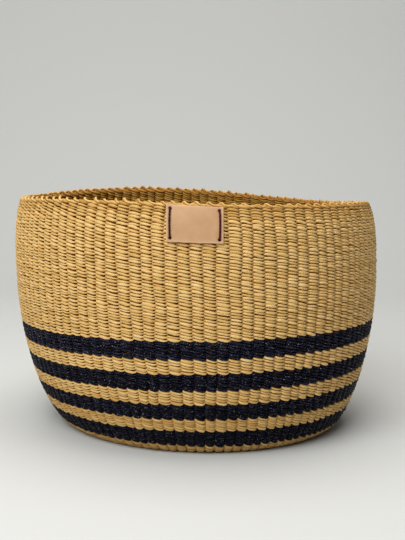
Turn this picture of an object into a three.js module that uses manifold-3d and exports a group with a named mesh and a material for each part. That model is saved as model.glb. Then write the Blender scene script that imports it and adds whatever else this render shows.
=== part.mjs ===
import * as THREE from 'three';
import { mergeVertices } from 'three/addons/utils/BufferGeometryUtils.js';
import Module from 'manifold-3d';

// A round planter basket of twined grass, with four dark stripes low on its wall, a braided rim
// and a leather label stitched on under the rim. Millimetres, +Z up, floor at z = 0. The wall's
// widest row is centred on the Z axis, and the label faces -Y.

const wasm = await Module();
wasm.setup();

// The wall's outside, seen as a cut from the flat bottom out and up to the rim.
const baseRadius = 127;
const bellyRadius = 175;
const bellyHeight = 151;
const rimRadius = 168.5;
const rimHeight = 217.4;
// How far the bottom runs on flat before the wall turns up, how long the wall stays upright
// under and over its widest row, and how far out and down the last stretch to the rim starts.
const footRun = 21.7;
const uprightBelow = 72;
const uprightAbove = 21.1;
const rimSlant = 7.5;
const rimStretch = 17.5;

// Two grass strands with a stake between them.
const wallThickness = 8;
// Room between neighbouring pieces that touch on the real basket.
const seam = 0.3;

// Widths of the bands, measured along the wall from the bottom's edge upwards.
const footBandWidth = 15.3;
const darkStripeWidths = [18.2, 15.2, 15.6, 15.8];
const plainBandWidths = [12, 13.1, 13.3];

// The crossed stakes in the middle of the bottom.
const baseCenterRadius = 26;

// The closing row, and the small loops in which the stakes end on top of it.
const borderWidth = 2.5;
const borderCrown = 1;
const rimLoopHeight = 2.7;
const stakeCount = 104;

// The basket is made by hand: its rim stands aside of its bottom, and its rows climb towards +X
// at the stripes. The wall waves up and down twice round, and the rim alone once and three times
// round. Each azimuth is where that wave is highest.
const rimLean = -8.2;
const stripeRise = 3.4;
const stripeRiseHeight = 71.7;
const rimRise = 1.25;
const rimRiseAzimuth = THREE.MathUtils.degToRad(-127);
const rimWave = 2.6;
const rimWaveAzimuth = THREE.MathUtils.degToRad(105);
const rimRipple = 1.75;
const rimRippleAzimuth = THREE.MathUtils.degToRad(-12);

// The label, its place under the rim and its turn.
const labelWidth = 46;
const labelHeight = 29.4;
const labelThickness = 1.8;
const labelDrop = 2.2;
const labelAside = 1.1;
const labelTurn = THREE.MathUtils.degToRad(1.25);

// The stitches: one upright loop of thread at each end of the label.
const threadRadius = 0.95;
const threadBend = 1.4;
const stitchInset = 3.1;
const stitchHeadroom = 3;
const stitchHoleClearance = 0.45;
const threadEndGap = 0.6;

// Fineness of the round shapes.
const ringSides = 64;
const sidesPerLoop = 2;
const threadSides = 8;
const threadSteps = 40;
const holeSides = 10;

// Two smooth arcs through the wall's seven guide points, one up to the belly and one on to the rim.
const outerGuides = [
  [baseRadius, 0],
  [baseRadius + footRun, 0],
  [bellyRadius, bellyHeight - uprightBelow],
  [bellyRadius, bellyHeight],
  [bellyRadius, bellyHeight + uprightAbove],
  [rimRadius + rimSlant, rimHeight - rimStretch],
  [rimRadius, rimHeight],
].map(([r, z]) => new THREE.Vector2(r, z));

// The same guide points moved in by the wall's thickness, each along the mean of the normals of
// the two stretches that meet there.
function inset(guides, thickness) {
  const last = guides.length - 1;
  const normalOf = (a, b) => new THREE.Vector2(a.y - b.y, b.x - a.x).normalize();
  return guides.map((point, i) => {
    const before = normalOf(guides[Math.max(i - 1, 0)], guides[Math.max(i, 1)]);
    const after = normalOf(guides[Math.min(i, last - 1)], guides[Math.min(i + 1, last)]);
    const shift = thickness / (1 + before.dot(after));
    return point.clone().addScaledVector(before.add(after), shift);
  });
}

const arcsOf = (p) => [
  new THREE.CubicBezierCurve(p[0], p[1], p[2], p[3]),
  new THREE.CubicBezierCurve(p[3], p[4], p[5], p[6]),
];
const outerArcs = arcsOf(outerGuides);
const innerArcs = arcsOf(inset(outerGuides, wallThickness));
const lowerLength = outerArcs[0].getLength();
const wallLength = lowerLength + outerArcs[1].getLength();

// The place in the wall's cut that lies this far up along its outside, at this depth: 0 is the
// outer face and 1 is the inner face. Past the rim it goes on in the rim's direction.
function wallPlace(along, depth) {
  const part = along < lowerLength ? 0 : 1;
  const within = Math.min(along - part * lowerLength, outerArcs[part].getLength());
  const t = outerArcs[part].getUtoTmapping(0, within);
  const outer = outerArcs[part].getPoint(t);
  const inner = innerArcs[part].getPoint(t);
  const past = Math.max(along - wallLength, 0);
  return outer.clone().lerp(inner, depth).addScaledVector(outerArcs[part].getTangent(t), past);
}

// A point of the true round basket, moved to where the uneven handmade one has it. The flat
// bottom stays level.
function handmade(x, y, z) {
  const share = (height) => Math.max(height - wallThickness, 0) / (rimHeight - wallThickness);
  const u = share(z);
  const low = share(stripeRiseHeight);
  const azimuth = Math.atan2(y, x);
  const waves = [
    stripeRise * Math.cos(azimuth) * u * (1 - u) / (low * (1 - low)),
    rimWave * Math.cos(2 * (azimuth - rimWaveAzimuth)) * u,
    rimRise * Math.cos(azimuth - rimRiseAzimuth) * u * (u - low) / (1 - low),
    rimRipple * Math.cos(3 * (azimuth - rimRippleAzimuth)) * u * (u - low) / (1 - low),
  ];
  const lean = rimLean * (u - share(bellyHeight));
  return new THREE.Vector3(x + lean, y, waves.reduce((sum, wave) => sum + wave, z));
}

function mapVertices(geometry, place) {
  const position = geometry.attributes.position;
  for (let i = 0; i < position.count; i++) {
    const point = place(position.getX(i), position.getY(i), position.getZ(i));
    position.setXYZ(i, point.x, point.y, point.z);
  }
  return geometry;
}

// One merged closed mesh, with nothing but positions.
function closed(geometry) {
  for (const name of Object.keys(geometry.attributes)) {
    if (name !== 'position') geometry.deleteAttribute(name);
  }
  return mergeVertices(geometry, 1e-4);
}

// A closed cut turned about the Z axis. The cut runs up its outside and down its inside.
function turned(cut, sides, place = handmade) {
  const ring = new THREE.LatheGeometry([...cut, cut[0]], sides).rotateX(Math.PI / 2);
  return closed(mapVertices(ring, place));
}

// The part of the wall from one place along its outside to another.
function wallRing(from, to, steps) {
  const heights = Array.from({ length: steps + 1 }, (_, i) => from + (to - from) * i / steps);
  const outside = heights.map((along) => wallPlace(along, 0));
  const inside = heights.map((along) => wallPlace(along, 1));
  return turned([...outside, ...inside.reverse()], ringSides);
}

function solidOf(geometry) {
  const vertProperties = new Float32Array(geometry.attributes.position.array);
  const triVerts = new Uint32Array(geometry.index.array);
  return new wasm.Manifold(new wasm.Mesh({ numProp: 3, vertProperties, triVerts }));
}

// The piece with a hole wherever one of the pins stands.
function pierced(geometry, pins) {
  let solid = solidOf(geometry);
  for (const pin of pins) solid = solid.subtract(solidOf(pin));
  const mesh = solid.getMesh();
  const result = new THREE.BufferGeometry();
  result.setAttribute('position', new THREE.BufferAttribute(mesh.vertProperties, 3));
  result.setIndex(new THREE.BufferAttribute(mesh.triVerts, 1));
  return result;
}

// A place on or off the wall's outside, given from the middle of the label's top edge: so far
// to the right, so far down and so far out.
function atLabel(right, down, out) {
  const across = labelAside + right * Math.cos(labelTurn) - down * Math.sin(labelTurn);
  const below = labelDrop + down * Math.cos(labelTurn) + right * Math.sin(labelTurn);
  const along = wallLength - below;
  const face = wallPlace(along, 0);
  const outward = face.clone().sub(wallPlace(along, 1)).normalize();
  const place = face.clone().addScaledVector(outward, out);
  const azimuth = across / face.x - Math.PI / 2;
  return handmade(place.x * Math.cos(azimuth), place.x * Math.sin(azimuth), place.y);
}

// Leather, curved to lie on the wall.
function labelBody() {
  const flat = new THREE.BoxGeometry(labelWidth, labelHeight, labelThickness, 12, 6, 1);
  const lift = seam + labelThickness / 2;
  return closed(mapVertices(flat, (x, y, z) => atLabel(x, labelHeight / 2 - y, lift + z)));
}

// The line of one stitch. It starts and ends inside the basket, halfway up, where the two ends
// of the thread meet, and goes out through the lower hole, up over the label and in again.
function stitchLine(right) {
  const wallFlat = bellyRadius * (1 - Math.cos(Math.PI / ringSides));
  const outside = 2 * seam + labelThickness + threadRadius;
  const inside = -wallThickness - wallFlat - seam - threadRadius;
  const top = stitchHeadroom;
  const bottom = labelHeight - stitchHeadroom;
  const middle = (top + bottom) / 2;
  const quarter = (bottom - top) / 4;
  const lowerHalf = [
    [middle + threadEndGap / 2, inside],
    [middle + quarter, inside],
    [bottom - threadBend, inside],
    [bottom, inside + threadBend],
    [bottom, inside + 2 * threadBend],
    [bottom, outside - 2 * threadBend],
    [bottom, outside - threadBend],
    [bottom - threadBend, outside],
    [middle + quarter, outside],
  ];
  const upperHalf = lowerHalf.map(([down, out]) => [2 * middle - down, out]).reverse();
  const route = [...lowerHalf, [middle, outside], ...upperHalf];
  return new THREE.CatmullRomCurve3(route.map(([down, out]) => atLabel(right, down, out)));
}

function stitch(right) {
  const section = new THREE.Shape();
  section.absarc(0, 0, threadRadius, 0, 2 * Math.PI);
  const options = {
    steps: threadSteps,
    curveSegments: threadSides / 2,
    extrudePath: stitchLine(right),
  };
  return closed(new THREE.ExtrudeGeometry(section, options));
}

// A pin that fills one stitch hole, through the label and the wall behind it.
function holePin(right, down) {
  const reach = wallThickness + labelThickness;
  const start = atLabel(right, down, -wallThickness - reach / 2);
  const end = atLabel(right, down, labelThickness + reach / 2);
  const radius = threadRadius + stitchHoleClearance;
  const length = start.distanceTo(end);
  const pin = new THREE.CylinderGeometry(radius, radius, length, holeSides);
  const direction = end.clone().sub(start).normalize();
  pin.applyQuaternion(new THREE.Quaternion().setFromUnitVectors(THREE.Object3D.DEFAULT_UP, direction));
  const middle = start.add(end).multiplyScalar(0.5);
  pin.translate(middle.x, middle.y, middle.z);
  return closed(pin);
}

// The closing row with a low crown, raised into one small loop at each stake.
function rimBorder() {
  const start = wallLength - borderWidth + seam / 2;
  const crown = wallLength + borderCrown;
  const cut = [
    wallPlace(start, 0),
    wallPlace(wallLength, 0),
    wallPlace(crown, 0.25),
    wallPlace(crown, 0.75),
    wallPlace(wallLength, 1),
    wallPlace(start, 1),
  ];
  const crownHeight = wallPlace(crown, 0.75).y;
  const loops = (x, y, z) => {
    const atLoop = (1 + Math.cos(stakeCount * Math.atan2(y, x))) / 2;
    const raised = z > crownHeight - borderCrown / 2 ? atLoop : 0;
    return handmade(x, y, z).add(new THREE.Vector3(0, 0, rimLoopHeight * raised));
  };
  return turned(cut, sidesPerLoop * stakeCount, loops);
}

function baseCenter() {
  const cut = [
    new THREE.Vector2(0, 0),
    new THREE.Vector2(baseCenterRadius, 0),
    new THREE.Vector2(baseCenterRadius, wallThickness),
    new THREE.Vector2(0, wallThickness),
  ];
  return turned(cut, ringSides);
}

function baseWeave() {
  const cut = [
    new THREE.Vector2(baseCenterRadius + seam, 0),
    new THREE.Vector2(baseRadius - seam, 0),
    new THREE.Vector2(baseRadius - seam, wallThickness),
    new THREE.Vector2(baseCenterRadius + seam, wallThickness),
  ];
  return turned(cut, ringSides);
}

function finish(color, roughness) {
  return () => new THREE.MeshStandardMaterial({ color, roughness, metalness: 0 });
}
const straw = finish('#c9a25c', 0.6);
const darkStraw = finish('#1d1d2b', 0.5);
const leather = finish('#d3a884', 0.65);
const thread = finish('#43121d', 0.6);

const basket = new THREE.Group();

function add(name, geometry, material) {
  const mesh = new THREE.Mesh(geometry, material());
  mesh.name = name;
  basket.add(mesh);
}

add('base_center', baseCenter(), straw);
add('base_weave', baseWeave(), straw);

// The bands of the wall, from the bottom's edge up: each stripe but the last has a plain band
// over it, and the upper wall takes what is left under the border.
let along = 0;
function addBand(name, width, steps, material) {
  const lowEdge = along === 0 ? 0 : along + seam / 2;
  add(name, wallRing(lowEdge, along + width - seam / 2, steps), material);
  along += width;
}
addBand('foot_band', footBandWidth, 4, straw);
darkStripeWidths.forEach((width, i) => {
  addBand(`dark_stripe_${i + 1}`, width, 3, darkStraw);
  if (i < plainBandWidths.length) addBand(`plain_band_${i + 1}`, plainBandWidths[i], 2, straw);
});

const stitchRight = labelWidth / 2 - stitchInset;
const pins = [];
for (const right of [-stitchRight, stitchRight]) {
  for (const down of [stitchHeadroom, labelHeight - stitchHeadroom]) pins.push(holePin(right, down));
}
const upperWall = wallRing(along + seam / 2, wallLength - borderWidth - seam / 2, 8);
add('upper_wall', pierced(upperWall, pins), straw);
add('rim_border', pierced(rimBorder(), pins), straw);
add('leather_label', pierced(labelBody(), pins), leather);
add('label_stitch_left', stitch(-stitchRight), thread);
add('label_stitch_right', stitch(stitchRight), thread);

export default basket;
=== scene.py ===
# %% [markdown]
# A round planter basket of twined grass, golden straw with four blue-black stripes, a looped rim
# and a small leather label. Everything is built round the measured frame, in metres: the frame
# says where each band of the wall is, and this file gives each band its strands, colour and sheen.

# %% Load the frame
import math

import bpy
import numpy as np
from mathutils import Matrix, Vector


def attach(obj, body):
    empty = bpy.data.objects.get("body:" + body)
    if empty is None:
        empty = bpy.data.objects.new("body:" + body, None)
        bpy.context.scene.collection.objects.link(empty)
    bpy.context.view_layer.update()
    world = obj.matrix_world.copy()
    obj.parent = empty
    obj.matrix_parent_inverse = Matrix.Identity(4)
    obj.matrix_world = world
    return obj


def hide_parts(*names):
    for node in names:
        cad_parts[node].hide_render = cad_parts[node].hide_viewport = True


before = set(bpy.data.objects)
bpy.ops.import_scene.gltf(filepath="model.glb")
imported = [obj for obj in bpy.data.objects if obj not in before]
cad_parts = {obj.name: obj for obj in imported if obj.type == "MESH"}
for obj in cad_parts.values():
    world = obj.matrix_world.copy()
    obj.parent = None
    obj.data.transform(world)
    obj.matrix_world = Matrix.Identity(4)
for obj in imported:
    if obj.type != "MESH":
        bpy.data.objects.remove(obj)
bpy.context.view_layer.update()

print("nodes:", ", ".join(sorted(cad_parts)))

# %% [markdown]
# The wall's outline is one smooth line: flat bottom, tight turn, full belly, and a drawn-in rim.
# It could be drawn by eye, but the strands have to meet the solids behind them, so the guide
# points are the ones that the solids have. Everything on the wall is then placed by three
# numbers: which stake (column), how far up along the outside, and how deep in the wall.

# %% Sizes of the wall
MM = 0.001
base_radius = 127 * MM
belly_radius = 175 * MM
belly_height = 151 * MM
rim_radius = 168.5 * MM
rim_height = 217.4 * MM
foot_run = 21.7 * MM
upright_below = 72 * MM
upright_above = 21.1 * MM
rim_slant = 7.5 * MM
rim_stretch = 17.5 * MM
wall_thickness = 8 * MM
seam = 0.3 * MM

guides = np.array([
    (base_radius, 0),
    (base_radius + foot_run, 0),
    (belly_radius, belly_height - upright_below),
    (belly_radius, belly_height),
    (belly_radius, belly_height + upright_above),
    (rim_radius + rim_slant, rim_height - rim_stretch),
    (rim_radius, rim_height),
])


def inset(points, thickness):
    """The guide points moved in by the wall's thickness, each along the mean of its normals."""
    step = np.diff(points, axis=0)
    normal = np.stack([-step[:, 1], step[:, 0]], 1) / np.hypot(*step.T)[:, None]
    before = normal[[0, *range(len(normal))]]
    after = normal[[*range(len(normal)), -1]]
    share = thickness / (1 + (before * after).sum(1))
    return points + (before + after) * share[:, None]


def smooth_line(points, steps=1500):
    """Two cubic arcs through seven guide points."""
    t = np.linspace(0, 1, steps)[:, None]
    blend = [(1 - t) ** 3, 3 * (1 - t) ** 2 * t, 3 * (1 - t) * t * t, t ** 3]
    arcs = [sum(b * p for b, p in zip(blend, points[i:i + 4])) for i in (0, 3)]
    return np.vstack([arcs[0], arcs[1][1:]])


outside_line = smooth_line(guides)
inside_line = smooth_line(inset(guides, wall_thickness))
line_length = np.concatenate([[0], np.cumsum(np.hypot(*np.diff(outside_line, axis=0).T))])
wall_length = line_length[-1]
last_step = outside_line[-1] - outside_line[-2]
rim_direction = last_step / np.hypot(*last_step)
print(f"wall: {wall_length / MM:.1f} mm from the bottom's edge to the rim")


def wall_place(along, depth):
    """Radius and height so far up along the outside and so deep: depth 0 is outside, 1 inside."""
    flat = np.minimum(along, 0)
    past = np.maximum(along - wall_length, 0)
    place = []
    for axis in (0, 1):
        outer = np.interp(along, line_length, outside_line[:, axis])
        inner = np.interp(along, line_length, inside_line[:, axis])
        place.append(outer + (inner - outer) * depth + past * rim_direction[axis])
    return place[0] + flat, place[1]

# %% [markdown]
# A hand-woven basket is never quite true: the rim stands a little aside of the bottom, the rows
# climb at the stripes, and the wall and its rim wave up and down. Moving every point by one
# smooth rule keeps neighbours together, which bending each piece by itself wouldn't.

# %% The handmade unevenness
rim_lean = -8.2 * MM
stripe_rise = 3.4 * MM
stripe_rise_height = 71.7 * MM
rim_rise = 1.25 * MM
rim_rise_azimuth = math.radians(-127)
rim_wave = 2.6 * MM
rim_wave_azimuth = math.radians(105)
rim_ripple = 1.75 * MM
rim_ripple_azimuth = math.radians(-12)


def height_share(height):
    return np.maximum(height - wall_thickness, 0) / (rim_height - wall_thickness)


def handmade(x, y, z):
    """A point of the true round basket, moved to where the uneven one has it."""
    u = height_share(z)
    low = height_share(stripe_rise_height)
    azimuth = np.arctan2(y, x)
    z = z + stripe_rise * np.cos(azimuth) * u * (1 - u) / (low * (1 - low))
    z = z + rim_wave * np.cos(2 * (azimuth - rim_wave_azimuth)) * u
    z = z + rim_rise * np.cos(azimuth - rim_rise_azimuth) * u * (u - low) / (1 - low)
    z = z + rim_ripple * np.cos(3 * (azimuth - rim_ripple_azimuth)) * u * (u - low) / (1 - low)
    lean = rim_lean * (u - height_share(belly_height))
    return np.stack([x + lean, y, z], -1)

# %% [markdown]
# The wall has 104 stakes, set round it like the hours of a clock. No maker spaces them evenly,
# so each one wanders a little as it climbs. A table of small random shifts, read smoothly
# between its entries, does this for the stakes and for every strand that rounds them.

# %% Stakes round the wall
STAKES = 104
first_stake_aside = 2.1 * MM
first_turn = first_stake_aside / rim_radius
stake_wander = 0.1
row_sway = 0.25 * MM
wander_heights = np.linspace(-base_radius, wall_length, 18)
dice = np.random.default_rng(31)
wander = dice.normal(0, stake_wander, (STAKES, len(wander_heights)))
print(f"stakes: {2 * math.pi * belly_radius / STAKES / MM:.1f} mm apart at the belly")


def round_table(table, column, level):
    """A table read smoothly: its rows go round the basket, and its columns up the wall."""
    count, last = table.shape[0], table.shape[1] - 1
    left = np.floor(column).astype(int)
    low = np.clip(np.floor(level).astype(int), 0, max(last - 1, 0))
    fx, fy = column - left, np.clip(level - low, 0, 1)
    a, b = left % count, (left + 1) % count
    c = np.minimum(low + 1, last)
    under = table[a, low] * (1 - fx) + table[b, low] * fx
    over = table[a, c] * (1 - fx) + table[b, c] * fx
    return under * (1 - fy) + over * fy


def sway(azimuth, along):
    """Rows aren't quite level: a slow wave round and up the wall, which dies out at its ends."""
    up = along / wall_length
    waves = np.sin(3 * azimuth + 5 * up) + 0.7 * np.sin(7 * azimuth - 9 * up + 1)
    waves += 0.4 * np.sin(13 * azimuth + 4)
    return row_sway * waves * np.clip(up * 6, 0, 1) * np.clip((1 - up) * 12, 0, 1)


def on_wall(column, along, depth):
    """Points in space for stake numbers, heights along the wall and depths in it."""
    level = (along - wander_heights[0]) / (wander_heights[1] - wander_heights[0])
    turn = (column + round_table(wander, column, level)) / STAKES
    azimuth = -math.pi / 2 + first_turn + 2 * math.pi * turn
    r, z = wall_place(along + sway(azimuth, along), depth)
    return handmade(r * np.cos(azimuth), r * np.sin(azimuth), z)

# %% [markdown]
# Small helpers that do what a hand does with the mouse: pick objects, join or copy them, apply a
# modifier. Others read or set all points of a mesh at once, with its map and named values.

# %% Helpers for objects


def pick(*objects):
    """Selects only these objects, the first as the active one, or nothing."""
    bpy.ops.object.select_all(action="DESELECT")
    for ob in objects:
        ob.select_set(True)
    if objects:
        bpy.context.view_layer.objects.active = objects[0]


def join(objects):
    pick(*objects)
    bpy.ops.object.join()
    return objects[0]


def copy_of(ob, name):
    new = ob.copy()
    new.data = ob.data.copy()
    new.name = new.data.name = name
    bpy.context.collection.objects.link(new)
    return new


def apply_modifier(ob, kind, **settings):
    pick(ob)
    modifier = ob.modifiers.new(kind.lower(), kind)
    for key, value in settings.items():
        setattr(modifier, key, value)
    bpy.ops.object.modifier_apply(modifier=modifier.name)


def repeat(ob, count, offset, merge=False):
    """The object repeated in a row, with the ends of neighbours merged or left apart."""
    apply_modifier(
        ob, "ARRAY", count=count, use_relative_offset=False, use_constant_offset=True,
        constant_offset_displace=offset, use_merge_vertices=merge, merge_threshold=1e-6,
    )


def points_of(mesh):
    co = np.empty(len(mesh.vertices) * 3)
    mesh.vertices.foreach_get("co", co)
    return co.reshape(-1, 3)


def set_points(mesh, co):
    mesh.vertices.foreach_set("co", np.ascontiguousarray(co, dtype=float).ravel())
    mesh.update()


def numbers_of(parts, name):
    numbers = np.empty(len(parts), int)
    parts.foreach_get(name, numbers)
    return numbers


def set_map(mesh, uv):
    layer = mesh.uv_layers.get("strand") or mesh.uv_layers.new(name="strand")
    layer.data.foreach_set("uv", uv.ravel())


def set_strand_map(mesh, run, turn):
    """The strand's own UV map: how far along it, and how far round it from 0 to 1."""
    corner = numbers_of(mesh.loops, "vertex_index")
    size = numbers_of(mesh.polygons, "loop_total")
    face = np.repeat(np.arange(len(size)), size)
    v = turn[corner]
    high = np.zeros(len(size))
    np.maximum.at(high, face, v)
    v = np.where(high[face] - v > 0.5, v + 1, v)
    set_map(mesh, np.stack([run[corner], v], 1))


def set_values(mesh, **values):
    """Named values on the points, each one number for all points or one for each."""
    for name, value in values.items():
        layer = mesh.attributes.get(name) or mesh.attributes.new(name, "FLOAT", "POINT")
        value = np.broadcast_to(value, len(mesh.vertices))
        layer.data.foreach_set("value", np.ascontiguousarray(value, dtype=np.float32))


def finish_piece(ob, name, material, nodes):
    """Smooth shading, the finish, and the facts that tie the piece to the frame."""
    ob.name = ob.data.name = name
    pick(ob)
    bpy.ops.object.shade_smooth()
    ob.data.materials.clear()
    ob.data.materials.append(material)
    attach(ob, "root")
    if nodes:
        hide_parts(*nodes)
    print(f"{name}: {len(ob.data.polygons)} faces")

# %% [markdown]
# Twining works with two strands at once. At each stake one strand passes outside and the other
# inside, and between two stakes they cross with half a twist, so each stake shows one short
# slanting stitch per row. Modelling all of them by hand would be endless. One strand is drawn
# past two stakes, out and in, and the rest of the basket repeats it: every row, every band and
# both strands are copies of this one piece, with its partner set one stake on. Where the two
# cross, a strand is pressed flat and deep, so that the wall stays closed between two stakes.

# %% One strand past two stakes
COLUMN = 10.4 * MM
ROW = 2.7 * MM
strand_sides = 6
stitch_half_depth = 1.25 * MM
crossing_half_depth = 1.55 * MM
strand_swing = wall_thickness / 2 - stitch_half_depth - 0.05 * MM
outward_lead = 0.15
strand_climb = 0.27 * ROW
stitch_half_height = 0.55 * ROW
crossing_half_height = 0.37 * ROW
dive_thinning = 0.07 * ROW
stops = [-0.5, -0.36, -0.18, 0, 0.18, 0.36, 0.5, 0.64, 0.8, 1, 1.2, 1.36, 1.5]


def strand_rise(u):
    """How far the strand's middle lies over the row's middle, at u stakes from its own."""
    return -strand_climb * np.sin(np.pi * u)


def strand_out(u):
    """How far out of the wall's middle it swings. It stays out over the stake, then dives late."""
    swing = np.cos(np.pi * u) + outward_lead * np.sin(np.pi * u) ** 2
    return strand_swing * np.sin(np.pi / 2 * swing)


def strand_half_size(u):
    """Half its height and half its depth: full over the stake, low and deep where two cross."""
    inward = np.sin(np.pi * u)
    crossing = crossing_half_height - dive_thinning * inward
    return (stitch_half_height + (crossing - stitch_half_height) * inward ** 2,
            stitch_half_depth + (crossing_half_depth - stitch_half_depth) * inward ** 2)


def strand_middle(u):
    return Vector((u * COLUMN, strand_rise(u), strand_out(u)))


pick()
bpy.ops.mesh.primitive_circle_add(vertices=strand_sides, radius=1, rotation=(0, math.pi / 2, 0))
stitch = bpy.context.object
stitch.name = "stitch"
bpy.ops.object.transform_apply(location=False, rotation=True, scale=False)
bpy.ops.object.mode_set(mode="EDIT")
bpy.ops.mesh.select_all(action="SELECT")
bpy.ops.transform.resize(value=(1, *strand_half_size(stops[0])), center_override=(0, 0, 0))
bpy.ops.transform.translate(value=strand_middle(stops[0]))
for here, there in zip(stops, stops[1:]):
    step = strand_middle(there) - strand_middle(here)
    bpy.ops.mesh.extrude_region_move(TRANSFORM_OT_translate={"value": step})
    growth = [new / old for new, old in zip(strand_half_size(there), strand_half_size(here))]
    bpy.ops.transform.resize(value=(1, *growth), center_override=strand_middle(there))
bpy.ops.mesh.select_all(action="SELECT")
bpy.ops.mesh.normals_make_consistent(inside=False)
bpy.ops.object.mode_set(mode="OBJECT")
print(f"stitch: {len(stitch.data.polygons)} faces, {stitch.dimensions.x / MM:.1f} mm long")

# %% [markdown]
# Now the weaving. For each band the strand is repeated to a flat mat, stake by stake and row by
# row, and the mat is then laid on the wall by moving its points. Laying it is also where the hand
# comes in: rows differ in height, stitches in plumpness, and each length of grass has its own
# tone, which is stored on the points for the material to read. The tone is lowered near the rim
# and towards the bottom as painted shade, and a value for how far inside a point lies lets the
# material paint shade on the inner face.

# %% Weaving a band
grass_length = 47           # stitches before a new length of grass is laid in
row_unevenness = 0.09
plump_unevenness = 0.11
push_unevenness = 0.03
shift_unevenness = 0.08
climb_unevenness = 0.18
thick_and_thin = 0.11
outward_bulge = 0.04
bulge_start = 20 * MM
foot_turn = 9 * MM
rim_painted_shade = 0.55
rim_shade_width = 22 * MM
foot_painted_shade = 0.52
foot_shade_width = 95 * MM
plain_tone, length_tone, stitch_tone = 0.165, 0.4, 0.24
run_per_row, run_per_partner = 7.3, 3.1     # so that no two strands show the same fibres


def lay_strand(mesh, partner, per_row, first, last, rows, stakes, offset, seed):
    """Moves a flat mat of one strand onto the wall, and stores its map and tones."""
    dice = np.random.default_rng(seed)
    height = dice.normal(1, row_unevenness, rows)
    edges = first + (last - first) * np.concatenate([[0], np.cumsum(height)]) / height.sum()

    co = points_of(mesh)
    row = np.arange(len(co)) // per_row
    u = co[:, 0] / COLUMN
    plump, push, shift, climb = (
        round_table(dice.normal(mean, spread, (2, stakes, rows))[partner], u, row)
        for mean, spread in ((1, plump_unevenness), (1, push_unevenness),
                             (0, shift_unevenness * ROW), (1, climb_unevenness))
    )
    rise, out = strand_rise(u), strand_out(u)
    up = co[:, 1] - row * ROW - rise
    off = co[:, 2] - out
    half_height, half_depth = strand_half_size(u)
    around = np.arctan2(off / half_depth, up / half_height) / (2 * np.pi) % 1

    size = (edges[row + 1] - edges[row]) / ROW
    full = plump * (1 + thick_and_thin * (-1.0) ** (row + partner))
    middle = (edges[row] + edges[row + 1]) / 2
    along = middle + (rise * climb + up * full) * size + shift
    depth = 0.5 - (out * push + off * full) / wall_thickness
    depth -= outward_bulge * np.clip(along / bulge_start, 0, 1)
    depth = np.where(along < foot_turn, np.clip(depth, 0.01, 1), depth)
    column = (u + partner) * (STAKES / stakes) + offset
    set_points(mesh, on_wall(column, along, depth))

    stitch_number = np.round(u).astype(int)
    begun = dice.integers(0, grass_length, 2)[partner]
    length_number = (row * stakes + stitch_number + begun) // grass_length
    lengths = dice.random((2, length_number.max() + 2))[partner]
    stitches = dice.random((2, stakes, rows))[partner]
    tone = plain_tone + length_tone * lengths[length_number]
    tone += stitch_tone * stitches[stitch_number % stakes, row]
    # Painted shade: the tone is lowered near the rim and towards the bottom of the wall.
    tone -= rim_painted_shade * np.clip(1 - (wall_length - along) / rim_shade_width, 0, 1)
    tone -= foot_painted_shade * np.clip(1 - along / foot_shade_width, 0, 1)
    # Painted shade: the inner half of the wall is darkened by the material through this value.
    inner = np.clip(2.5 * depth - 1, 0, 1)
    set_values(mesh, inner=inner, tone=tone, lot=lengths[length_number - 1])
    set_strand_map(mesh, u + run_per_row * row + run_per_partner * partner, around)


def weave(name, first, last, rows, seed, stakes=STAKES, offset=0.0):
    """A band of twining from one height along the wall to another."""
    strips = []
    for partner in (0, 1):
        strip = copy_of(stitch, name)
        repeat(strip, stakes // 2, (2 * COLUMN, 0, 0), merge=True)
        per_row = len(strip.data.vertices)
        repeat(strip, rows, (0, ROW, 0))
        lay_strand(strip.data, partner, per_row, first, last, rows, stakes, offset, seed)
        strips.append(strip)
    band = join(strips)
    bpy.ops.object.mode_set(mode="EDIT")
    bpy.ops.mesh.select_all(action="SELECT")
    bpy.ops.mesh.remove_doubles(threshold=2e-6)     # closes the ring where its ends meet
    bpy.ops.object.mode_set(mode="OBJECT")
    return band

# %% [markdown]
# A material is a small tree of nodes. Wired by hand it would be clear but long, so a few helpers
# add the nodes that every finish here needs: sums, a colour ramp, a blend of two colours, and the
# wires to the surface. Each works on the tree it is given, be it a material's or a group's.

# %% Nodes for materials


def add_node(tree, kind, values=None, **settings):
    node = tree.nodes.new(kind)
    for key, value in settings.items():
        setattr(node, key, value)
    for key, value in (values or {}).items():
        node.inputs[key].default_value = value
    return node


def maths(tree, operation, *inputs):
    """A maths node whose inputs are sockets or plain numbers."""
    node = tree.nodes.new("ShaderNodeMath")
    node.operation = operation
    for i, value in enumerate(inputs):
        if isinstance(value, bpy.types.NodeSocket):
            tree.links.new(value, node.inputs[i])
        else:
            node.inputs[i].default_value = value
    return node.outputs[0]


def new_material(name):
    material = bpy.data.materials.new(name)
    material.use_nodes = True
    return material, material.node_tree


def stored(tree, name):
    """A value that is kept on the points of the mesh."""
    return add_node(tree, "ShaderNodeAttribute", attribute_name=name).outputs["Fac"]


def coloured(tree, stops, factor):
    """A colour ramp with these stops, read at the factor."""
    ramp = add_node(tree, "ShaderNodeValToRGB")
    elements = ramp.color_ramp.elements
    while len(elements) < len(stops):
        elements.new(0.5)
    for element, (position, colour) in zip(elements, stops):
        element.position = position
        element.color = (*colour, 1)
    tree.links.new(factor, ramp.inputs["Fac"])
    return ramp.outputs["Color"]


def mixed(tree, colour, factor, other, blend="MIX"):
    """The colour mixed with or multiplied by another, as strongly as the factor says."""
    mix = add_node(tree, "ShaderNodeMix", data_type="RGBA", blend_type=blend)
    mix.inputs["B"].default_value = (*other, 1)
    tree.links.new(factor, mix.inputs["Factor"])
    tree.links.new(colour, mix.inputs["A"])
    return mix.outputs["Result"]


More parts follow.
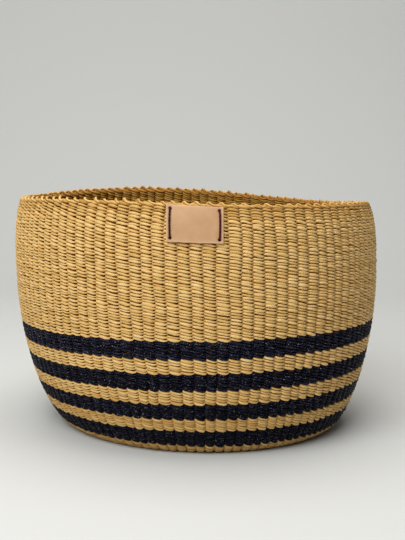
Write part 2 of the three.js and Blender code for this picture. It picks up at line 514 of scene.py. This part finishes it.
def wire_surface(tree, colour, gloss, relief, gloss_level=0.5):
    """Colour, roughness (pattern, share and base) and relief (pattern, strength and height)."""
    shader = tree.nodes["Principled BSDF"]
    tree.links.new(colour, shader.inputs["Base Color"])
    tree.links.new(maths(tree, "MULTIPLY_ADD", *gloss), shader.inputs["Roughness"])
    shader.inputs["Specular IOR Level"].default_value = gloss_level
    pattern, strength, height = relief
    bump = add_node(tree, "ShaderNodeBump", {"Strength": strength, "Distance": height})
    tree.links.new(pattern, bump.inputs["Height"])
    tree.links.new(bump.outputs["Normal"], shader.inputs["Normal"])

# %% [markdown]
# Grass isn't one colour. Each stalk was split and twisted, so fine pale and dark fibres run along
# every strand at a slight slant. A group reads how far along and round the strand a point is and
# gives out the streaks, their relief, the flecks and the crest; the grass paints shade on the
# flanks of a strand, away from its crest. The way round the strand is a circle in it, so there is
# no seam. The dyed and the plain grass, the stalks and the thread all use this one group.

# %% The group for fibres
fibres = bpy.data.node_groups.new("grass_fibres", "ShaderNodeTree")
link, new_socket = fibres.links.new, fibres.interface.new_socket
new_socket("Strand", in_out="INPUT", socket_type="NodeSocketVector")
for key, value in (("Seed", 0.0), ("Fineness", 3.0), ("Twist", 1.2), ("Fleck Level", 0.66)):
    socket = new_socket(key, in_out="INPUT", socket_type="NodeSocketFloat")
    socket.default_value = value
for key in ("Streak", "Relief", "Fleck", "Crest"):
    new_socket(key, in_out="OUTPUT", socket_type="NodeSocketFloat")
given = fibres.nodes.new("NodeGroupInput").outputs
result = fibres.nodes.new("NodeGroupOutput").inputs
split = add_node(fibres, "ShaderNodeSeparateXYZ")
link(given["Strand"], split.inputs[0])
run, turn = split.outputs["X"], split.outputs["Y"]
round_angle = maths(fibres, "MULTIPLY", turn, 2 * math.pi)
angle = maths(fibres, "ADD", round_angle, maths(fibres, "MULTIPLY", run, given["Twist"]))
crest = maths(fibres, "ABSOLUTE", maths(fibres, "SINE", round_angle))
link(crest, result["Crest"])
place = add_node(fibres, "ShaderNodeCombineXYZ")
link(maths(fibres, "MULTIPLY", run, 0.8), place.inputs["X"])
for operation, axis in (("COSINE", "Y"), ("SINE", "Z")):
    side = maths(fibres, operation, angle)
    side = maths(fibres, "MULTIPLY", side, given["Fineness"])
    link(side, place.inputs[axis])
for output, scale, detail, roughness in (("Streak", 1.0, 3.0, 0.6), ("Relief", 2.2, 2.0, 0.5)):
    values = {"Scale": scale, "Detail": detail, "Roughness": roughness}
    noise = add_node(fibres, "ShaderNodeTexNoise", values, noise_dimensions="4D")
    link(place.outputs[0], noise.inputs["Vector"])
    link(maths(fibres, "MULTIPLY", given["Seed"], 40.0), noise.inputs["W"])
    link(noise.outputs["Fac"], result[output])

# %% [markdown]
# Flecks are where a third noise is brightest, squeezed so that they lie across the strand.

# %% The flecks
speck = add_node(fibres, "ShaderNodeTexNoise", {"Scale": 2.4, "Detail": 2.0, "Roughness": 0.7},
                 noise_dimensions="4D")
spots = add_node(fibres, "ShaderNodeVectorMath", {1: (6, 0.3, 0.3)}, operation="MULTIPLY")
link(place.outputs[0], spots.inputs[0])
link(spots.outputs[0], speck.inputs["Vector"])
link(maths(fibres, "MULTIPLY_ADD", given["Seed"], 25.0, 9.0), speck.inputs["W"])
edge = add_node(fibres, "ShaderNodeMapRange", {"From Max": 0.08}, clamp=True)
above = maths(fibres, "SUBTRACT", speck.outputs["Fac"], given["Fleck Level"])
link(above, edge.inputs["Value"])
link(edge.outputs[0], result["Fleck"])


def add_fibres(tree, values):
    """The group in a material, fed with the piece's strand map and lots."""
    group = add_node(tree, "ShaderNodeGroup", values, node_tree=fibres)
    strand = add_node(tree, "ShaderNodeUVMap", uv_map="strand")
    tree.links.new(strand.outputs["UV"], group.inputs["Strand"])
    tree.links.new(stored(tree, "lot"), group.inputs["Seed"])
    return group.outputs

# %% [markdown]
# All three grasses use the group with their own colours. Undyed grass runs from ochre to cream,
# and the stalks inside the wall are painted dark brown, as shade in the gaps between stitches. The
# dyed grass is nearly black with a cold cast, and shows small pale flecks where the dye didn't
# take. A ramp turns the tone of the length of grass and its streaks into colour; the same streaks
# shape the gloss and a shallow relief. Three tints are then multiplied in: painted shade on the
# flanks of a strand, where strands press on each other, painted shade on the inner face of the
# basket, and a warm one for some lengths of grass.

# %% The grass materials
streak_contrast, streak_shift = 2.2, -0.6
fleck_cover = 0.7
flank_shade_falloff = 1.1
streak_gloss, gloss_shift = 0.25, -0.12


def grass_material(name, stops, tints, flecks, roughness, gloss_level, streak_share):
    """Colour from tone and streaks, with flecks and three tints, and a satin gloss."""
    fleck_colour, fleck_level = flecks
    material, tree = new_material(name)
    fibre = add_fibres(tree, {"Fleck Level": fleck_level})
    spread = maths(tree, "MULTIPLY_ADD", fibre["Streak"], streak_contrast, streak_shift)
    share = maths(tree, "ADD", maths(tree, "MULTIPLY", stored(tree, "tone"), 1 - streak_share),
                  maths(tree, "MULTIPLY", spread, streak_share))
    colour = coloured(tree, stops, share)
    cover = maths(tree, "MULTIPLY", fibre["Fleck"], fleck_cover)
    colour = mixed(tree, colour, cover, fleck_colour)
    # Painted shade: the first two tints darken the flanks of a strand and the inner face.
    painted_flank_shade = maths(tree, "POWER", maths(tree, "SUBTRACT", 1.0, fibre["Crest"]), flank_shade_falloff)
    warm_lots = maths(tree, "FRACT", maths(tree, "MULTIPLY", stored(tree, "lot"), 7.0))
    for factor, tint in zip((painted_flank_shade, stored(tree, "inner"), warm_lots), tints):
        colour = mixed(tree, colour, factor, tint, "MULTIPLY")
    gloss = (fibre["Streak"], streak_gloss, roughness + gloss_shift)
    wire_surface(tree, colour, gloss, (fibre["Relief"], 0.65, 0.25 * MM), gloss_level)
    return material


# In each grass the first tint is painted shade on the flanks, the second painted shade inside.
brown_fleck, pale_fleck = (0.25, 0.11, 0.03), (0.9, 0.92, 0.85)
untinted = (1, 1, 1)
warm = (1.0, 0.95, 0.88)
straw = grass_material(
    "undyed_grass",
    stops=[(0.0, (0.35, 0.18, 0.035)), (0.3, (0.56, 0.35, 0.108)),
           (0.6, (0.74, 0.52, 0.22)), (1.0, (0.9, 0.74, 0.48))],
    tints=((0.61, 0.37, 0.02), (0.74, 0.65, 0.33), warm),
    flecks=(brown_fleck, 0.68), roughness=0.58, gloss_level=0.25, streak_share=0.5,
)
# The stalks' dark brown is painted shade for the gaps between stitches.
stalk_straw = grass_material(
    "shaded_stalk_grass",
    stops=[(0.0, (0.26, 0.08, 0.006)), (1.0, (0.52, 0.2, 0.015))],
    tints=((0.6, 0.5, 0.4), untinted, warm),
    flecks=(brown_fleck, 0.66), roughness=0.65, gloss_level=0.1, streak_share=0.5,
)
dark_straw = grass_material(
    "dyed_grass",
    stops=[(0.0, (0.001, 0.001, 0.002)), (0.5, (0.004, 0.004, 0.01)), (1.0, (0.065, 0.06, 0.11))],
    tints=((0.1, 0.1, 0.2), untinted, (0.9, 0.9, 1)),
    flecks=(pale_fleck, 0.63), roughness=0.45, gloss_level=0.035, streak_share=0.65,
)

# %% [markdown]
# The bands of the wall, counted in rows as a weaver would. A stripe is six rows of dyed grass, or
# seven for the lowest. The tall upper wall is woven in four parts, only to keep each mesh light.

# %% The wall's bands
foot_rows, foot_width = 6, 15.3 * MM
stripe_rows = [7, 6, 6, 6]
stripe_widths = [18.2 * MM, 15.2 * MM, 15.6 * MM, 15.8 * MM]
plain_rows = [5, 5, 5]
plain_widths = [12 * MM, 13.1 * MM, 13.3 * MM]
border_width = 2.5 * MM
upper_part_rows = [11, 10, 10, 10]

bands = [("foot_band", foot_width, foot_rows, straw)]
for i in range(4):
    bands.append((f"dark_stripe_{i + 1}", stripe_widths[i], stripe_rows[i], dark_straw))
    if i < 3:
        bands.append((f"plain_band_{i + 1}", plain_widths[i], plain_rows[i], straw))

height = 0.0
for number, (name, width, rows, material) in enumerate(bands):
    piece = weave(name, height, height + width, rows, seed=100 + number)
    finish_piece(piece, f"woven_{name}", material, [name])
    height += width

upper_row = (wall_length - border_width - height) / sum(upper_part_rows)
for i, rows in enumerate(upper_part_rows):
    piece = weave("upper_wall", height, height + rows * upper_row, rows, seed=200 + i)
    finish_piece(piece, f"woven_upper_wall_{i + 1}", straw, ["upper_wall"])
    height += rows * upper_row

# %% [markdown]
# The flat bottom is twined too. It starts round a cross of stalks, first over pairs of stakes,
# then over single ones, and when these stand too far apart a new stake is pushed in between each
# two. So the number of stitches in a round doubles twice on the way out.

# %% The bottom
cross_radius = 26 * MM
pair_rows, single_rows, full_rows = 5, 14, 18
pair_edge = cross_radius + pair_rows * ROW
single_edge = pair_edge + single_rows * ROW
full_half = (base_radius - single_edge) / 2
rounds = [
    (cross_radius, pair_edge, pair_rows, STAKES // 4, 0.0),
    (pair_edge, single_edge, single_rows, STAKES // 2, 1.0),
    (single_edge, single_edge + full_half, full_rows // 2, STAKES, 0.0),
    (single_edge + full_half, base_radius, full_rows // 2, STAKES, 0.0),
]
for number, (inner, outer, rows, stakes, offset) in enumerate(rounds):
    first, last = inner - base_radius, outer - base_radius
    piece = weave("base", first, last, rows, 300 + number, stakes, offset)
    finish_piece(piece, f"woven_base_{number + 1}", straw, ["base_weave"])

# %% [markdown]
# Round, even cords, such as stakes, rim loops and thread, are drawn as a curve with a round
# section and turned into a mesh. That is how a modeller would pull a wire, and it leaves the
# points in rings, so that the map along and round the cord can be written ring by ring.

# %% Cords from curves


def cord(name, route, radii, resolution=2, section=1):
    """A round cord along a smooth route. Its points come in rings of 4 + 2 * section."""
    curve = bpy.data.curves.new(name, "CURVE")
    curve.dimensions = "3D"
    curve.bevel_depth = 1
    curve.bevel_resolution = section
    curve.resolution_u = resolution
    curve.use_fill_caps = True
    spline = curve.splines.new("BEZIER")
    spline.bezier_points.add(len(route) - 1)
    for point, place, radius in zip(spline.bezier_points, route, radii):
        point.co = place
        point.radius = radius
        point.handle_left_type = point.handle_right_type = "AUTO"
    ob = bpy.data.objects.new(name, curve)
    bpy.context.collection.objects.link(ob)
    pick(ob)
    bpy.ops.object.convert(target="MESH")
    return bpy.context.object


def map_rings(mesh, point, run_per_ring, start=0):
    """The strand map of cords with six points to a ring, from each point's number in its cord."""
    set_strand_map(mesh, point // 6 * run_per_ring + start, point % 6 / 6)

# %% [markdown]
# Each stake is a bundle of stalks pressed flat, which fills the middle of the wall. Its dark
# brown, painted shade, shows in the small gaps between stitches, and it keeps light from shining
# through. Half of the stakes start at the cross, the others further out. One straight cord is
# repeated round the basket, flattened, and laid on the wall like the mats.

# %% Stakes in the wall
stake_radius = 1.2 * MM
stake_flatness = 4
stake_step = 6 * MM
stake_end = 0.3 * MM


def stakes_from(start, offset, seed):
    """Every second stake, from one radius of the bottom up to the rim."""
    stop = wall_length - stake_end
    count = int((stop - (start - base_radius)) / stake_step)
    route = [(0, height, 0) for height in np.linspace(start - base_radius, stop, count)]
    stalk = cord("stalk", route, [stake_radius] * count, resolution=1, section=0)
    per_stake = len(stalk.data.vertices)
    repeat(stalk, STAKES // 2, (2 * COLUMN, 0, 0))
    co = points_of(stalk.data)
    number = np.arange(len(co)) // per_stake
    across = (co[:, 0] - number * 2 * COLUMN) * stake_flatness
    r, _ = wall_place(co[:, 1], np.full(len(co), 0.5))
    column = 2 * number + offset + across / (2 * np.pi * r / STAKES)
    set_points(stalk.data, on_wall(column, co[:, 1], 0.5 - co[:, 2] / wall_thickness))
    tones = np.random.default_rng(seed).random(STAKES)
    set_values(stalk.data, tone=tones[number], lot=tones[number])
    set_strand_map(stalk.data, co[:, 1] / COLUMN, np.arctan2(co[:, 2], across) / (2 * np.pi) % 1)
    return stalk


old_stakes = stakes_from(cross_radius + 3 * MM, 1, 401)
new_stakes = stakes_from(single_edge, 0, 402)
finish_piece(join([old_stakes, new_stakes]), "stakes", stalk_straw, [])

# %% [markdown]
# The cross in the middle of the bottom: thirteen stalks one way and thirteen over them the other
# way. Each runs straight through the middle and then fans out to its place in the round. A stalk
# is a little wider than the space it has, as pressed grass is, so that nothing shows between two.

# %% The cross
cross_stalks = 13
stalk_spacing = 2.75 * MM
cross_straight = 15 * MM
cross_end = cross_radius + 4 * MM
fanned_spacing = cross_end * 2 * math.pi / (STAKES / 2)
stalk_fullness = 0.62
layer_lift = 1.3 * MM


def cross_route(number, reach):
    """The way of one stalk along X, from the middle out to one end."""
    from_middle = number - (cross_stalks - 1) / 2
    aside = from_middle * stalk_spacing
    azimuth = from_middle * 2 * math.pi / (STAKES / 2)
    end = (cross_end * math.cos(azimuth), cross_end * math.sin(azimuth))
    t = np.clip((abs(reach) - cross_straight) / (cross_end - cross_straight), 0, 1)
    t = t * t * (3 - 2 * t)
    x = abs(reach) * (1 - t) + end[0] * t
    return math.copysign(x, reach), aside * (1 - t) + end[1] * t, 1 - t


def cross_layer(direction, lift, seed):
    stalks = []
    reaches = np.linspace(-cross_end, cross_end, 17)
    turn = Matrix.Rotation(direction, 3, "Z")
    tones = np.random.default_rng(seed).random(cross_stalks)
    for number in range(cross_stalks):
        route, radii = [], []
        for reach in reaches:
            x, y, share = cross_route(number, reach)
            route.append(turn @ Vector((x, y, wall_thickness / 2 + lift * share)))
            radii.append(stalk_fullness * (stalk_spacing * share + fanned_spacing * (1 - share)))
        stalk = cord("cross_stalk", route, radii, resolution=1)
        # Painted shade: darker towards the side that faces into the basket.
        inner = np.clip(4 * points_of(stalk.data)[:, 2] / wall_thickness - 1.2, 0, 1)
        set_values(stalk.data, tone=0.05 + 0.5 * tones[number], inner=inner, lot=tones[number])
        map_rings(stalk.data, np.arange(len(inner)), 0.36)
        stalks.append(stalk)
    return stalks


stalks = cross_layer(first_turn, -layer_lift, 411)
stalks += cross_layer(first_turn + math.pi / 2, layer_lift, 412)
cross = join(stalks)
base_aside = float(rim_lean * -height_share(belly_height))
set_points(cross.data, points_of(cross.data) + np.array([base_aside, 0, 0]))
finish_piece(cross, "base_cross", straw, ["base_center"])

# %% [markdown]
# The rim. A last twined row closes the wall. Above it the end of each stake is bent over: it
# comes up out of the middle of the wall, makes a small knuckle, lies along the outer edge to the
# right and tucks back into the middle at its neighbour. So the edge shows a smooth strand with
# one small loop per stake. One loop is drawn as a curve on the flat, as stake number, height over
# the wall's end and depth, then repeated and laid on the wall.

# %% The rim border
closing_lift = 0.5 * MM
loop_unevenness = 0.13
loop_push_unevenness = 0.02
loop_shaded_tone, loop_tone_spread = 0.1, 0.45
closing = weave("rim_border", wall_length - border_width, wall_length + closing_lift, 1, seed=501)
loop_route = [
    (-0.02, -4.0, 0.50), (-0.06, -1.4, 0.48), (-0.06, 0.8, 0.42), (0.02, 2.1, 0.33),
    (0.12, 1.8, 0.21), (0.20, 0.6, 0.12), (0.38, -0.5, 0.10), (0.66, -1.0, 0.17),
    (0.84, -1.3, 0.34), (1.00, -2.1, 0.50), (1.16, -3.4, 0.58),
]
loop_radii = [1.1, 1.5, 1.6, 1.35, 1.25, 1.2, 1.15, 1.2, 1.15, 1.0, 0.6]
flat_route = [(c * COLUMN, a * MM, (0.5 - d) * wall_thickness) for c, a, d in loop_route]
loop = cord("loop", flat_route, [r * MM for r in loop_radii], resolution=2)
per_loop = len(loop.data.vertices)
repeat(loop, STAKES, (COLUMN, 0, 0))
dice = np.random.default_rng(502)
loop_scale = dice.normal(1, loop_unevenness, STAKES)
loop_push = dice.normal(0, loop_push_unevenness, STAKES)
loop_tone = dice.random(STAKES)
all_points = points_of(loop.data)
number = np.arange(len(all_points)) // per_loop
up = all_points[:, 1]
up = np.where(up > 0, up * loop_scale[number], up)
depth = 0.5 - all_points[:, 2] / wall_thickness + loop_push[number]
set_points(loop.data, on_wall(all_points[:, 0] / COLUMN, wall_length + up, depth))
# Painted shade: the loops get a low tone and are darkened on their inner side.
tone = loop_shaded_tone + loop_tone_spread * loop_tone[number]
set_values(loop.data, tone=tone, inner=np.clip(3 * depth - 0.9, 0, 1), lot=loop_tone[number])
map_rings(loop.data, np.arange(len(all_points)) % per_loop, 0.1, start=number * 3.7)
finish_piece(join([closing, loop]), "woven_rim_border", straw, ["rim_border"])

# %% [markdown]
# The label is a piece of vegetable-tanned leather. It is cut flat, gets its rounded edges and
# four stitch holes while it is flat, and is only then curved onto the wall, as the maker does.

# %% Where the label is
label_width = 46 * MM
label_height = 29.4 * MM
label_thickness = 1.8 * MM
label_drop = 2.2 * MM
label_aside = 1.1 * MM
label_turn = math.radians(1.25)
stitch_inset = 3.1 * MM
stitch_headroom = 3 * MM
thread_radius = 0.95 * MM
stitch_hole_radius = thread_radius + 0.45 * MM


def on_label(right, down, out):
    """A place given from the middle of the label's top edge, so far right, down and out."""
    across = label_aside + right * math.cos(label_turn) - down * math.sin(label_turn)
    along = wall_length - label_drop - down * math.cos(label_turn) - right * math.sin(label_turn)
    r, z = wall_place(along, 0 * along)
    inner_r, inner_z = wall_place(along, 0 * along + 1)
    size = np.hypot(r - inner_r, z - inner_z)
    azimuth = across / r - np.pi / 2
    r, z = r + (r - inner_r) / size * out, z + (z - inner_z) / size * out
    return handmade(r * np.cos(azimuth), r * np.sin(azimuth), z)

# %% [markdown]
# The flat leather is a grid given thickness by Solidify. An awl, here a thin cylinder, punches
# each hole with a Boolean, and Bevel rounds every edge, the holes' too. The grid is fine enough
# to bend smoothly afterwards.

# %% The flat label
pick()
bpy.ops.mesh.primitive_grid_add(x_subdivisions=60, y_subdivisions=40, size=1)
label = bpy.context.object
label.scale = (label_width, label_height, 1)
bpy.ops.object.transform_apply(location=False, rotation=False, scale=True)
apply_modifier(label, "SOLIDIFY", thickness=label_thickness, offset=0)
stitch_right = label_width / 2 - stitch_inset
stitch_up = label_height / 2 - stitch_headroom
for x in (-stitch_right, stitch_right):
    for y in (-stitch_up, stitch_up):
        pick()
        bpy.ops.mesh.primitive_cylinder_add(vertices=20, radius=stitch_hole_radius,
                                            depth=4 * label_thickness, location=(x, y, 0))
        awl = bpy.context.object
        apply_modifier(label, "BOOLEAN", object=awl, operation="DIFFERENCE", solver="EXACT")
        bpy.data.objects.remove(awl)
apply_modifier(label, "BEVEL", width=0.35 * MM, segments=3, limit_method="ANGLE",
               angle_limit=math.radians(50))
print(f"label: {label.dimensions.x / MM:.1f} by {label.dimensions.y / MM:.1f} mm")

# %% [markdown]
# Worn leather isn't flat. It dents where the thread pulls, curls a little at its ends and lower
# edge, and ripples. These small heights are added to the flat piece, which is then laid on the
# wall point by point. How near a point is to the edge and to a hole is kept for the material.

# %% The label on the wall
hole_dent, thread_dent = 0.35 * MM, 0.18 * MM
hole_dent_width, thread_dent_width = 1.6 * MM, 1.3 * MM
end_curl = low_curl = 0.5 * MM
ripple_height, ripple_width, ripple_drop = 0.08 * MM, 6.1 * MM, 7.3 * MM
edge_width, hole_width = 0.8 * MM, 2.0 * MM

flat = points_of(label.data)
x, y, z = flat.T
edge = np.minimum(label_width / 2 - np.abs(x), label_height / 2 - np.abs(y))
aside = np.abs(np.abs(x) - stitch_right)
to_hole = np.hypot(aside, np.abs(np.abs(y) - stitch_up))
to_thread = np.hypot(aside, np.maximum(np.abs(y) - stitch_up, 0))
dent = (hole_dent * np.exp(-(to_hole / hole_dent_width) ** 2)
        + thread_dent * np.exp(-(to_thread / thread_dent_width) ** 2))
curl = (end_curl * (np.abs(x) / (label_width / 2)) ** 6
        + low_curl * (np.maximum(-y, 0) / (label_height / 2)) ** 4)
ripple = ripple_height * (np.sin(x / ripple_width + 1) * np.sin(y / ripple_drop))
lift = seam + label_thickness / 2 + z - np.where(z > 0, dent, 0) + curl + ripple
set_points(label.data, on_label(x, label_height / 2 - y, lift))
set_values(label.data, edge=np.exp(-np.maximum(edge, 0) / edge_width),
           hole=np.exp(-((to_hole / hole_width) ** 2)))
corner = numbers_of(label.data.loops, "vertex_index")
set_map(label.data, flat[corner, :2] / (10 * MM))

# %% [markdown]
# The leather is bare: a soft cloud of two tans, paler where the cut edge is rubbed, and darker
# round the stitch holes as painted shade. Its grain is a fine net of cells with pores between, in
# gloss and relief only.

# %% The leather
leather, tree = new_material("label_leather")
surface = add_node(tree, "ShaderNodeUVMap", uv_map="strand")
cloud = add_node(tree, "ShaderNodeTexNoise", {"Scale": 0.9, "Detail": 4.0, "Roughness": 0.6})
grain = add_node(tree, "ShaderNodeTexVoronoi", {"Scale": 26.0}, feature="DISTANCE_TO_EDGE")
pores = add_node(tree, "ShaderNodeTexNoise", {"Scale": 22.0, "Detail": 3.0, "Roughness": 0.65})
for node in (cloud, grain, pores):
    tree.links.new(surface.outputs["UV"], node.inputs["Vector"])
tans = [(0.3, (0.41, 0.224, 0.106)), (0.7, (0.478, 0.272, 0.137))]
colour = coloured(tree, tans, cloud.outputs["Fac"])
rubbed_edge, painted_hole_shade = (0.62, 0.38, 0.225), (0.3, 0.13, 0.07)
# The darker tan round the stitch holes is painted shade.
for name, strength, worn in (("edge", 0.7, rubbed_edge), ("hole", 0.55, painted_hole_shade)):
    colour = mixed(tree, colour, maths(tree, "MULTIPLY", stored(tree, name), strength), worn)
heights = maths(tree, "ADD", maths(tree, "MINIMUM", grain.outputs["Distance"], 0.25),
                maths(tree, "MULTIPLY", pores.outputs["Fac"], 0.4))
wire_surface(tree, colour, (pores.outputs["Fac"], 0.25, 0.42), (heights, 0.35, 0.12 * MM))
finish_piece(label, "bare_leather_label", leather, ["leather_label"])

# %% [markdown]
# Two stitches of waxed thread hold the label. Each is a loop: out through the lower hole, up over
# the leather in a slight bow, in through the upper hole, and knotted inside. The thread has two
# plies, so two thin cords are wound round each other along the loop.

# %% The way of the thread
thread_bend = 1.4 * MM
thread_bow = 0.4 * MM
thread_turn = 3.6 * MM
thread_press = 0.15 * MM
ply_offset = 0.43 * MM
ply_stops = 190


def stitch_route(right):
    outside = 2 * seam + label_thickness + thread_radius - thread_press
    inside = -wall_thickness - seam - thread_radius
    top, bottom = stitch_headroom, label_height - stitch_headroom
    middle, quarter = (top + bottom) / 2, (bottom - top) / 4
    lower = [
        (middle + 0.3 * MM, inside), (middle + quarter, inside), (bottom - thread_bend, inside),
        (bottom, inside + thread_bend), (bottom, inside + 2 * thread_bend),
        (bottom, outside - 2 * thread_bend), (bottom, outside - thread_bend),
        (bottom - thread_bend, outside), (middle + quarter, outside),
    ]
    upper = [(2 * middle - down, out) for down, out in reversed(lower)]
    down, out = np.array(lower + [(middle, outside)] + upper).T
    bow = thread_bow * (1 - ((down - middle) / (bottom - middle)) ** 2) * (out > 0)
    return on_label(right + np.sign(right) * bow, down, out)


def smooth_route(route, count):
    """A Catmull-Rom line through the points, in even steps."""
    ends = np.vstack([2 * route[0] - route[1], route, 2 * route[-1] - route[-2]])
    t = np.linspace(0, 1, 24, endpoint=False)[:, None]
    parts = []
    for a, b, c, d in zip(ends, ends[1:], ends[2:], ends[3:]):
        parts.append(0.5 * (2 * b + (c - a) * t + (2 * a - 5 * b + 4 * c - d) * t ** 2
                            + (3 * b - a - 3 * c + d) * t ** 3))
    line = np.vstack(parts + [route[-1:]])
    length = np.concatenate([[0], np.cumsum(np.linalg.norm(np.diff(line, axis=0), axis=1))])
    even = np.linspace(0, length[-1], count)
    return np.stack([np.interp(even, length, line[:, k]) for k in range(3)], 1), even


def plies(route, side, count):
    """Two routes wound round one: side is a direction that is never along it."""
    line, even = smooth_route(route, count)
    tangent = np.gradient(line, axis=0)
    tangent /= np.linalg.norm(tangent, axis=1)[:, None]
    normal = np.cross(tangent, side)
    normal /= np.linalg.norm(normal, axis=1)[:, None]
    other = np.cross(tangent, normal)
    for start in (0, math.pi):
        angle = (even / thread_turn * 2 * math.pi + start)[:, None]
        yield line + ply_offset * (np.cos(angle) * normal + np.sin(angle) * other)

# %% [markdown]
# The thread is dark red and dulled by wax. It takes its fibres from the same group as the grass,
# finer and with more twist.

# %% The waxed thread
waxed_thread, tree = new_material("waxed_thread")
fibre = add_fibres(tree, {"Fineness": 4.0, "Twist": 5.0})
reds = [(0.3, (0.015, 0.002, 0.003)), (0.75, (0.085, 0.01, 0.011))]
wire_surface(tree, coloured(tree, reds, fibre["Streak"]), (fibre["Streak"], 0.2, 0.5),
             (fibre["Relief"], 0.5, 0.08 * MM), gloss_level=0.1)

# %% [markdown]
# Each stitch is now made: its two plies, the knot that closes the loop inside the wall, and the
# two short ends that the knot leaves. All are cords, joined to one piece.

# %% The stitches
ply_radius, knot_radius, end_radius = 0.48 * MM, 0.55 * MM, 0.5 * MM
knot_size = 0.85 * MM
knot_place = -wall_thickness - seam - 1.3 * MM
end_length = 4.5 * MM
end_slope, end_droop = 1.5 * MM, 2 * MM
end_lift, end_wave = 0.1 * MM, 0.4 * MM


def thread_cord(route, radius, lot):
    ob = cord("thread", route, [radius] * len(route), resolution=1)
    set_values(ob.data, lot=lot)
    map_rings(ob.data, np.arange(len(ob.data.vertices)), 0.05)
    return ob


def knot_route(right):
    """A trefoil, which is a small overhand knot with its ends brought together."""
    t = np.linspace(0, 2 * np.pi, 40)
    down = label_height / 2 + knot_size * (np.sin(t) + 2 * np.sin(2 * t)) / 1.6
    side = right + knot_size * (np.cos(t) - 2 * np.cos(2 * t)) / 1.6
    return on_label(side, down, knot_place - knot_size * np.sin(3 * t) * 0.8)


def end_route(right, way):
    """A short end that leaves the knot to one side and droops."""
    t = np.linspace(0, 1, 8)
    down = label_height / 2 + end_slope * t + end_droop * t * t
    out = knot_place + end_lift - end_wave * np.sin(3 * t)
    return on_label(right + way * end_length * t, down, out)


for name, side in (("left", -1), ("right", 1)):
    right = side * stitch_right
    across = on_label(right + MM, label_height / 2, 0.0) - on_label(right, label_height / 2, 0.0)
    both = plies(stitch_route(right), across, ply_stops)
    cords = [thread_cord(ply, ply_radius, lot) for ply, lot in zip(both, (0.3, 0.7))]
    cords.append(thread_cord(knot_route(right), knot_radius, 0.9))
    for way, lot in ((-1, 0.2), (1, 0.7)):
        cords.append(thread_cord(end_route(right, way), end_radius, lot))
    finish_piece(join(cords), f"waxed_stitch_{name}", waxed_thread,
                 [f"label_stitch_{name}"])

bpy.data.objects.remove(stitch)     # the pattern of all strands isn't a piece itself

# %% [markdown]
# A plain pale floor that sweeps up behind the basket, so that the camera sees no edge. It is a
# grid bent in code, not a part of the object.

# %% Floor and backdrop
sweep_start, sweep_radius = 0.9, 0.6
floor_half, floor_shift = 2.6, 0.6
pick()
bpy.ops.mesh.primitive_grid_add(x_subdivisions=2, y_subdivisions=160, size=2 * floor_half)
floor = bpy.context.object
co = points_of(floor.data)
y = co[:, 1] + floor_shift
bend = np.clip((y - sweep_start) / sweep_radius, 0, math.pi / 2)
beyond = np.maximum(y - sweep_start - sweep_radius * math.pi / 2, 0)
co[:, 1] = np.minimum(y, sweep_start) + sweep_radius * np.sin(bend)
co[:, 2] = sweep_radius * (1 - np.cos(bend)) + beyond
set_points(floor.data, co)
bpy.ops.object.shade_smooth()
floor.name = "floor"
pale, tree = new_material("pale_floor")
shader = tree.nodes["Principled BSDF"]
shader.inputs["Base Color"].default_value = (0.575, 0.585, 0.585, 1)
shader.inputs["Roughness"].default_value = 0.9
floor.data.materials.append(pale)

# %% [markdown]
# Soft daylight from the left and above, as from a large window, and an even, weak sky so that
# the shaded side keeps its colour. Only the camera and reflections see the sky as pale as the
# backdrop. So it looks light from the sides and back too, and the shadows keep their depth.

# %% Light
scene = bpy.context.scene
scene.view_settings.view_transform = "Standard"
world = bpy.data.worlds.new("studio")
world.use_nodes = True
tree = world.node_tree
sky = tree.nodes["Background"]
sky.inputs["Color"].default_value = (1.0, 0.99, 0.97, 1)
sky_light, sky_look = 0.06, 0.62
ray = add_node(tree, "ShaderNodeLightPath").outputs
seen = maths(tree, "MAXIMUM", ray["Is Camera Ray"], ray["Is Glossy Ray"])
seen = maths(tree, "MAXIMUM", seen, ray["Is Transmission Ray"])
strength = maths(tree, "MULTIPLY_ADD", seen, sky_look - sky_light, sky_light)
tree.links.new(strength, sky.inputs["Strength"])
scene.world = world
centre = Vector((0, 0, rim_height / 2))


def area_light(name, place, size, power, colour):
    """A square lamp that faces the middle of the basket."""
    data = bpy.data.lights.new(name, "AREA")
    data.shape = "RECTANGLE"
    data.size = data.size_y = size
    data.energy = power
    data.color = colour
    lamp = bpy.data.objects.new(name, data)
    lamp.location = place
    lamp.rotation_euler = (centre - Vector(place)).to_track_quat("-Z", "Y").to_euler()
    bpy.context.collection.objects.link(lamp)


area_light("window", (-0.6, -1.42, 1.35), size=1.3, power=38, colour=(0.99, 1.0, 0.98))
area_light("ceiling", (0, 0, 2.1), size=1.8, power=36, colour=(1.0, 0.97, 0.91))
print("lamps: window and ceiling")

# %% [markdown]
# The camera stands a metre off, a little over the rim, and looks slightly down. It is turned by
# a degree, as one held in the hand is.

# %% Camera
focal_pixels = 1000.0
frame_pixels = 540.0
sensor = 36.0
camera_place = Vector((5.85, -983.15, 258.7)) * MM
camera_pitch = math.radians(6.509)
camera_roll = math.radians(1.172)
camera_data = bpy.data.cameras.new("camera")
camera_data.sensor_width = sensor
camera_data.lens = sensor * focal_pixels / frame_pixels
camera = bpy.data.objects.new("camera", camera_data)
turned = Matrix.Rotation(math.pi / 2 - camera_pitch, 4, "X") @ Matrix.Rotation(camera_roll, 4, "Z")
camera.matrix_world = Matrix.Translation(camera_place) @ turned
bpy.context.collection.objects.link(camera)
scene.camera = camera
print(f"camera: {camera_data.lens:.1f} mm lens, {camera_place.length:.2f} m off")
